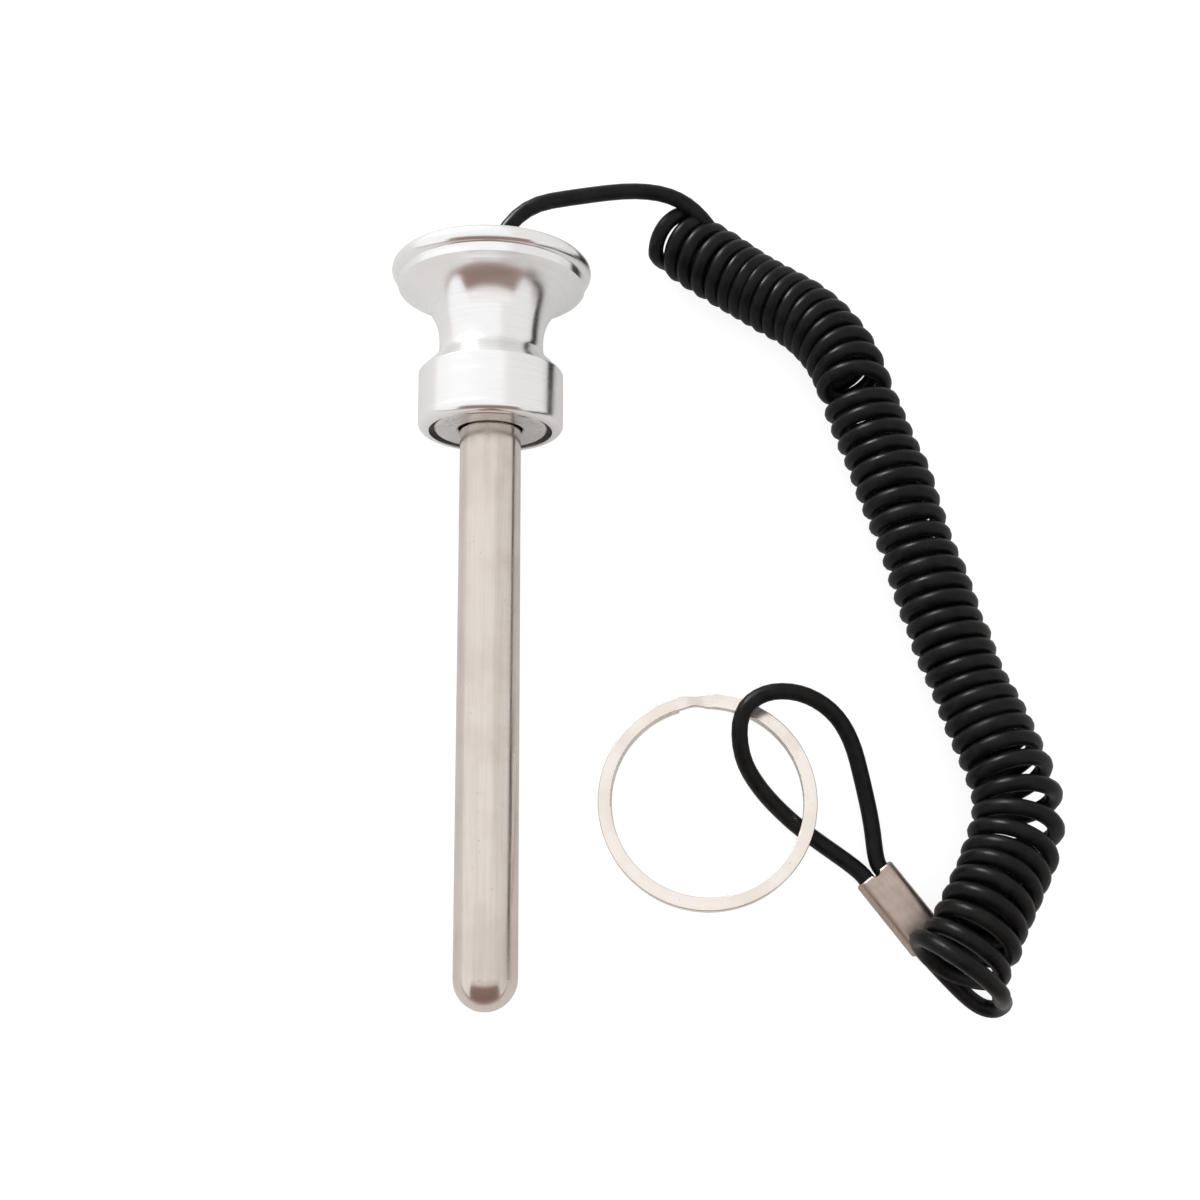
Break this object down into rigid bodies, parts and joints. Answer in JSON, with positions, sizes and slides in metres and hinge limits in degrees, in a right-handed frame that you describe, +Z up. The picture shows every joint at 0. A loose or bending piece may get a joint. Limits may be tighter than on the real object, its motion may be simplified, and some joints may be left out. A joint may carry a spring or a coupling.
{
  "type": "magnetic weight stack pin",
  "caption": "Selector pin for a weight stack: domed steel shaft, turned knob with a ring magnet in its collar, curly lanyard and split ring.",
  "frame": {"origin": "on the table under the middle of the pin's own box, the cord and what is on it left out", "axes": "+Y from the dome tip to the knob, along the table; +Z up; +X towards the curly cord"},
  "size_m": [0.1074, 0.1408, 0.0332],
  "materials": {
    "shaft_steel": "ground stainless steel, satin",
    "knob_aluminium": "turned and polished aluminium",
    "magnet_nickel": "nickel plated magnet, satin",
    "sleeve_black": "black rubber",
    "stop_brass": "crimped brass",
    "cord_black": "smooth black polyurethane, half gloss",
    "ferrule_steel": "pressed steel, dull",
    "ring_nickel": "nickel plated flat wire"
  },
  "bodies": {
    "pin": {"shaft": "shaft_steel", "knob": "knob_aluminium", "ring_magnet": "magnet_nickel", "magnet_sleeve": "sleeve_black", "cord_stop": "stop_brass", "lead_cord": "cord_black", "curly_cord": "cord_black", "loop_cord": "cord_black", "crimp_ferrule": "ferrule_steel"},
    "ring": {"split_ring": "ring_nickel"}
  },
  "joints": [
    {"name": "ring_turn", "type": "hinge", "parent": "pin", "child": "ring", "pos_m": [0.0349, -0.0288, 0.00293], "axis": [-0.0975, 0.0298, 0.9948], "continuous": true}
  ]
}
